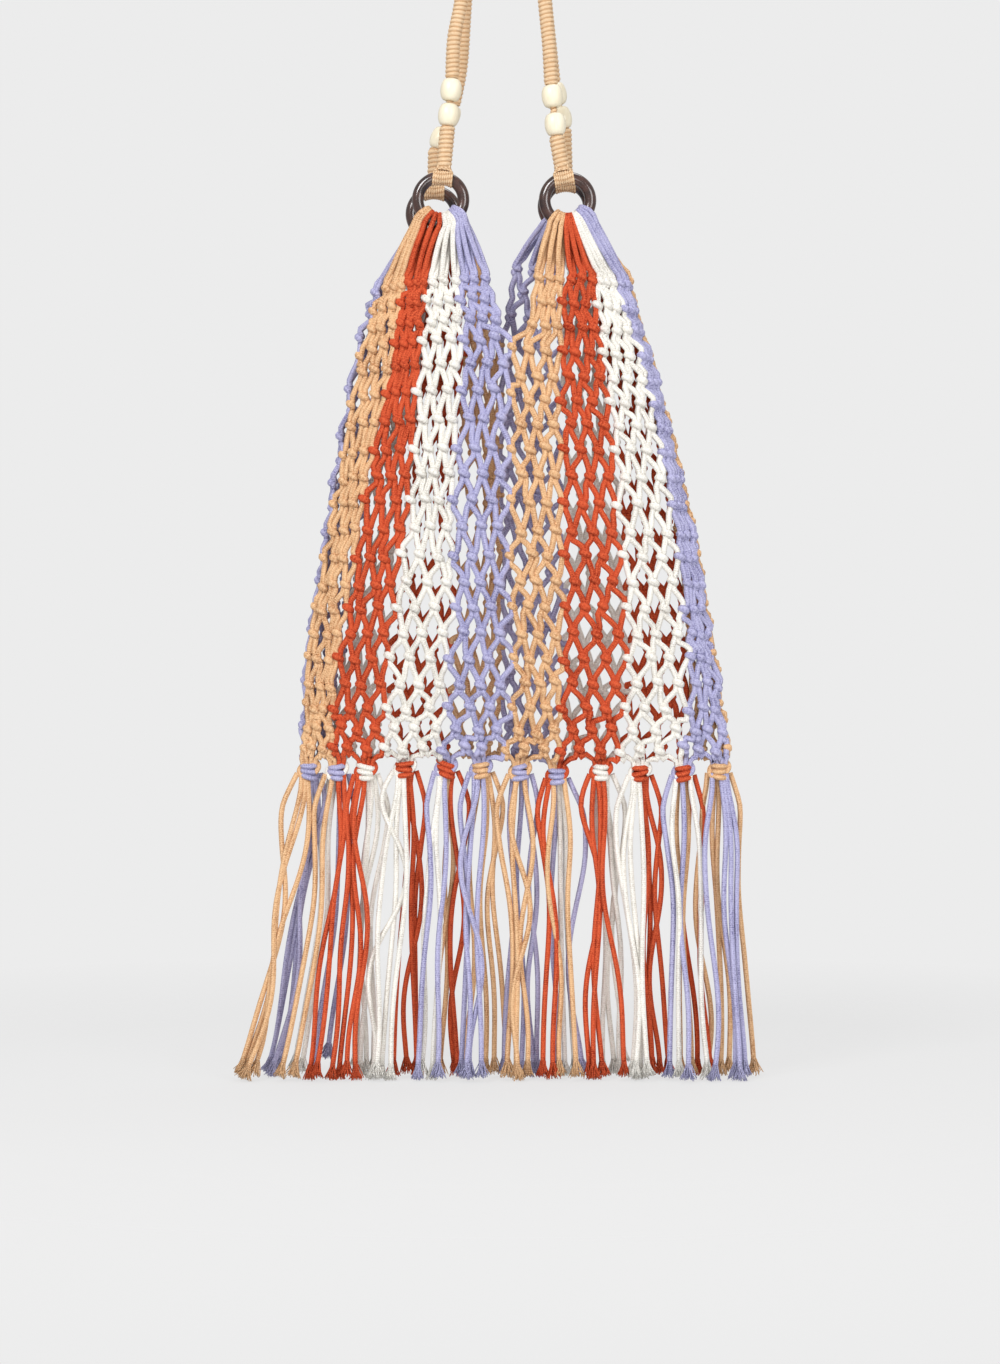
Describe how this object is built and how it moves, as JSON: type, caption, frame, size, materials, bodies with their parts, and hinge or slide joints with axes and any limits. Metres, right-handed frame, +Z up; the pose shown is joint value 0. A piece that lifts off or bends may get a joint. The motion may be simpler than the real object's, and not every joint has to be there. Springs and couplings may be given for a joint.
{
  "type": "macrame net tote bag",
  "caption": "Open knotted net tote of soft cord in four colours, with a long fringe, dark rings, wooden beads and two wrapped rope handles.",
  "frame": {"origin": "where a peg or a hand carries the bag: on the underside of the bend of the two handles, midway between them", "axes": "+X to the bag's right as seen from its front, +Y from front to back, +Z up"},
  "size_m": [0.3647, 0.0632, 0.9335],
  "materials": {
    "cord_tan": "soft matt cotton cord, golden tan",
    "cord_rust": "soft matt cotton cord, rust red",
    "cord_white": "soft matt cotton cord, off-white",
    "cord_lilac": "soft matt cotton cord, grey lilac",
    "handle_wrap": "rope wound closely with tan cotton thread",
    "ring_dark": "dark brown, polished",
    "bead_wood": "cream, smooth, slightly glossy"
  },
  "bodies": {
    "root": {"grip_front": "handle_wrap", "grip_back": "handle_wrap", "handle_end_front_left": "handle_wrap", "handle_end_front_right": "handle_wrap", "handle_end_back_right": "handle_wrap", "handle_end_back_left": "handle_wrap", "bead_front_left_lower": "bead_wood", "bead_front_left_upper": "bead_wood", "bead_front_right_lower": "bead_wood", "bead_front_right_upper": "bead_wood", "bead_back_right_lower": "bead_wood", "bead_back_right_upper": "bead_wood", "bead_back_left_lower": "bead_wood", "bead_back_left_upper": "bead_wood", "ring_front_left": "ring_dark", "ring_front_right": "ring_dark", "ring_back_right": "ring_dark", "ring_back_left": "ring_dark", "net_front_left_tan": "cord_tan", "net_front_left_rust": "cord_rust", "net_front_left_white": "cord_white", "net_front_left_lilac": "cord_lilac", "net_front_right_tan": "cord_tan", "net_front_right_rust": "cord_rust", "net_front_right_white": "cord_white", "net_front_right_lilac": "cord_lilac", "net_back_right_tan": "cord_tan", "net_back_right_rust": "cord_rust", "net_back_right_white": "cord_white", "net_back_right_lilac": "cord_lilac", "net_back_left_tan": "cord_tan", "net_back_left_rust": "cord_rust", "net_back_left_white": "cord_white", "net_back_left_lilac": "cord_lilac", "tassel_01": "cord_lilac", "tassel_02": "cord_lilac", "tassel_03": "cord_white", "tassel_04": "cord_rust", "tassel_05": "cord_rust", "tassel_06": "cord_tan", "tassel_07": "cord_lilac", "tassel_08": "cord_lilac", "tassel_09": "cord_white", "tassel_10": "cord_rust", "tassel_11": "cord_rust", "tassel_12": "cord_tan"}
  },
  "joints": []
}
